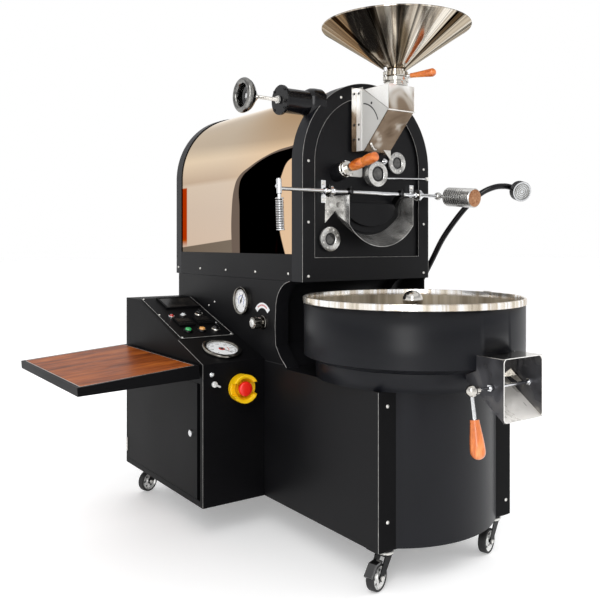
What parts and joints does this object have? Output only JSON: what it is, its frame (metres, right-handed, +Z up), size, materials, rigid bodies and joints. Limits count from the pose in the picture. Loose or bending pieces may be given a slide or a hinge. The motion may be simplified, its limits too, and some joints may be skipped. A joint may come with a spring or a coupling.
{
  "type": "drum coffee roaster",
  "caption": "Floor-standing drum coffee roaster with a feed hopper, round cooling tray, control cabinet and folding side table, on casters.",
  "frame": {"origin": "centre of the bounding box on the floor", "axes": "+Z up, -Y is the front with the cooling tray, +X is to the right seen from the front"},
  "size_m": [1.402, 1.6188, 1.639],
  "materials": {
    "black_coat": "satin black powder coat",
    "gloss_black": "glossy black",
    "bronze_mirror": "polished rose bronze mirror",
    "steel": "fine brushed stainless",
    "chrome": "polished",
    "motor_grey": "painted grey casting",
    "grip_wood": "varnished orange red wood",
    "table_wood": "satin walnut",
    "yellow": "satin yellow",
    "red": "satin red",
    "green": "glossy green",
    "amber": "glossy amber",
    "tyre": "matt black rubber"
  },
  "bodies": {
    "machine": {"base_shell": "black_coat", "front_panel": "black_coat", "housing_cradle": "black_coat", "housing_cover": "bronze_mirror", "front_plate": "black_coat", "face_plate": "black_coat", "rear_plate": "black_coat", "drum_gearmotor": "motor_grey", "burner": "steel", "tray_drum": "black_coat", "tray_pan": "steel", "tray_floor": "steel", "agitator_gearmotor": "motor_grey", "blower": "motor_grey", "tray_chute": "steel", "hopper": "steel", "inlet_chute": "steel", "bearing_block_left": "chrome", "bearing_block_right": "chrome", "outlet_trough": "steel", "sight_glass_main": "steel", "sight_glass_upper": "steel", "sight_glass_lower": "steel", "exhaust_tube": "black_coat", "gooseneck_lamp": "black_coat", "cabinet_shell": "black_coat", "console_plate": "black_coat", "dial_thermometer": "chrome", "estop_shroud": "yellow", "pressure_gauge": "chrome"},
    "drum": {"drum": "steel"},
    "agitator": {"agitator": "steel"},
    "chute_flap": {"chute_flap": "steel", "chute_grip": "grip_wood"},
    "feed_gate": {"feed_gate": "grip_wood"},
    "discharge_door": {"door_shaft": "chrome", "spring_handle": "chrome", "discharge_door": "black_coat", "counterweight": "chrome"},
    "trier_bush": {"trier_bush": "steel"},
    "trier": {"trier": "steel", "trier_grip": "grip_wood"},
    "damper_stem": {"damper_stem": "steel"},
    "damper_wheel": {"damper_handwheel": "gloss_black"},
    "cabinet_door": {"cabinet_door": "black_coat"},
    "side_table": {"table_frame": "black_coat", "table_top": "table_wood"},
    "gas_knob": {"gas_knob": "black_coat"},
    "selector": {"selector_switch": "chrome"},
    "estop": {"estop_head": "red"},
    "green_button": {"button_green": "green"},
    "amber_button": {"button_amber": "amber"},
    "caster_swivel_front_left": {"caster_fork_front_left": "black_coat"},
    "caster_wheel_front_left": {"caster_wheel_front_left": "tyre"},
    "caster_swivel_front_right": {"caster_fork_front_right": "black_coat"},
    "caster_wheel_front_right": {"caster_wheel_front_right": "tyre"},
    "caster_swivel_rear_left": {"caster_fork_rear_left": "black_coat"},
    "caster_wheel_rear_left": {"caster_wheel_rear_left": "tyre"},
    "caster_swivel_rear_right": {"caster_fork_rear_right": "black_coat"},
    "caster_wheel_rear_right": {"caster_wheel_rear_right": "tyre"}
  },
  "joints": [
    {"name": "drum_spin", "type": "hinge", "parent": "machine", "child": "drum", "pos_m": [0.20163, 0.21812, 1.15], "axis": [0, 1, 0], "continuous": true},
    {"name": "agitator_spin", "type": "hinge", "parent": "machine", "child": "agitator", "pos_m": [0.20163, -0.38888, 0.64], "axis": [0, 0, 1], "continuous": true},
    {"name": "chute_flap_swing", "type": "hinge", "parent": "machine", "child": "chute_flap", "pos_m": [0.20163, -0.76688, 0.573], "axis": [1, 0, 0], "range_deg": [0, 60]},
    {"name": "feed_gate_slide", "type": "slide", "parent": "machine", "child": "feed_gate", "axis": [0.342, -0.9397, 0], "range_m": [0, 0.06]},
    {"name": "discharge_door_swing", "type": "hinge", "parent": "machine", "child": "discharge_door", "pos_m": [0.20163, -0.21388, 1.116], "axis": [-1, 0, 0], "range_deg": [0, 60]},
    {"name": "trier_turn", "type": "hinge", "parent": "machine", "child": "trier_bush", "pos_m": [0.07163, -0.17288, 1.178], "axis": [0, -0.9826, 0.1857], "range_deg": [-180, 180]},
    {"name": "trier_slide", "type": "slide", "parent": "trier_bush", "child": "trier", "axis": [0, -0.9826, 0.1857], "range_m": [0, 0.18]},
    {"name": "damper_travel", "type": "slide", "parent": "machine", "child": "damper_stem", "axis": [-1, 0, 0], "range_m": [0, 0.02]},
    {"name": "damper_turn", "type": "hinge", "parent": "damper_stem", "child": "damper_wheel", "pos_m": [-0.22837, -0.13388, 1.4], "axis": [1, 0, 0], "range_deg": [0, 1440]},
    {"name": "cabinet_door_swing", "type": "hinge", "parent": "machine", "child": "cabinet_door", "pos_m": [-0.30117, 0.66512, 0.312], "axis": [0, 0, -1], "range_deg": [0, 110]},
    {"name": "side_table_fold", "type": "hinge", "parent": "machine", "child": "side_table", "pos_m": [-0.30747, 0.35612, 0.525], "axis": [0, 1, 0], "range_deg": [-85, 0]},
    {"name": "gas_knob_turn", "type": "hinge", "parent": "machine", "child": "gas_knob", "pos_m": [-0.08837, 0.04912, 0.685], "axis": [-1, 0, 0], "range_deg": [-90, 0]},
    {"name": "selector_turn", "type": "hinge", "parent": "machine", "child": "selector", "pos_m": [-0.12937, 0.26995, 0.65141], "axis": [0, -0.3172, 0.9484], "range_deg": [-45, 45]},
    {"name": "estop_press", "type": "slide", "parent": "machine", "child": "estop", "axis": [0, 1, 0], "range_m": [0, 0.006]},
    {"name": "green_button_press", "type": "slide", "parent": "machine", "child": "green_button", "axis": [0, 0.3172, -0.9484], "range_m": [0, 0.004], "stiffness_N_per_m": 400, "springref_m": -0.003},
    {"name": "amber_button_press", "type": "slide", "parent": "machine", "child": "amber_button", "axis": [0, 0.3172, -0.9484], "range_m": [0, 0.004], "stiffness_N_per_m": 400, "springref_m": -0.003},
    {"name": "caster_swivel_front_left", "type": "hinge", "parent": "machine", "child": "caster_swivel_front_left", "pos_m": [-0.02037, -0.51188, 0.09], "axis": [0, 0, 1], "continuous": true},
    {"name": "caster_roll_front_left", "type": "hinge", "parent": "caster_swivel_front_left", "child": "caster_wheel_front_left", "pos_m": [-0.06317, -0.52579, 0.0375], "axis": [-0.309, 0.9511, 0], "continuous": true},
    {"name": "caster_swivel_front_right", "type": "hinge", "parent": "machine", "child": "caster_swivel_front_right", "pos_m": [0.42363, -0.51188, 0.09], "axis": [0, 0, 1], "continuous": true},
    {"name": "caster_roll_front_right", "type": "hinge", "parent": "caster_swivel_front_right", "child": "caster_wheel_front_right", "pos_m": [0.38083, -0.52579, 0.0375], "axis": [-0.309, 0.9511, 0], "continuous": true},
    {"name": "caster_swivel_rear_left", "type": "hinge", "parent": "machine", "child": "caster_swivel_rear_left", "pos_m": [-0.20037, 0.62212, 0.09], "axis": [0, 0, 1], "continuous": true},
    {"name": "caster_roll_rear_left", "type": "hinge", "parent": "caster_swivel_rear_left", "child": "caster_wheel_rear_left", "pos_m": [-0.24317, 0.60821, 0.0375], "axis": [-0.309, 0.9511, 0], "continuous": true},
    {"name": "caster_swivel_rear_right", "type": "hinge", "parent": "machine", "child": "caster_swivel_rear_right", "pos_m": [0.42363, 0.62212, 0.09], "axis": [0, 0, 1], "continuous": true},
    {"name": "caster_roll_rear_right", "type": "hinge", "parent": "caster_swivel_rear_right", "child": "caster_wheel_rear_right", "pos_m": [0.38083, 0.60821, 0.0375], "axis": [-0.309, 0.9511, 0], "continuous": true}
  ],
  "couplings": [
    {"joint": "damper_travel", "follows": "damper_turn", "m_per_rad": 0.000795}
  ]
}
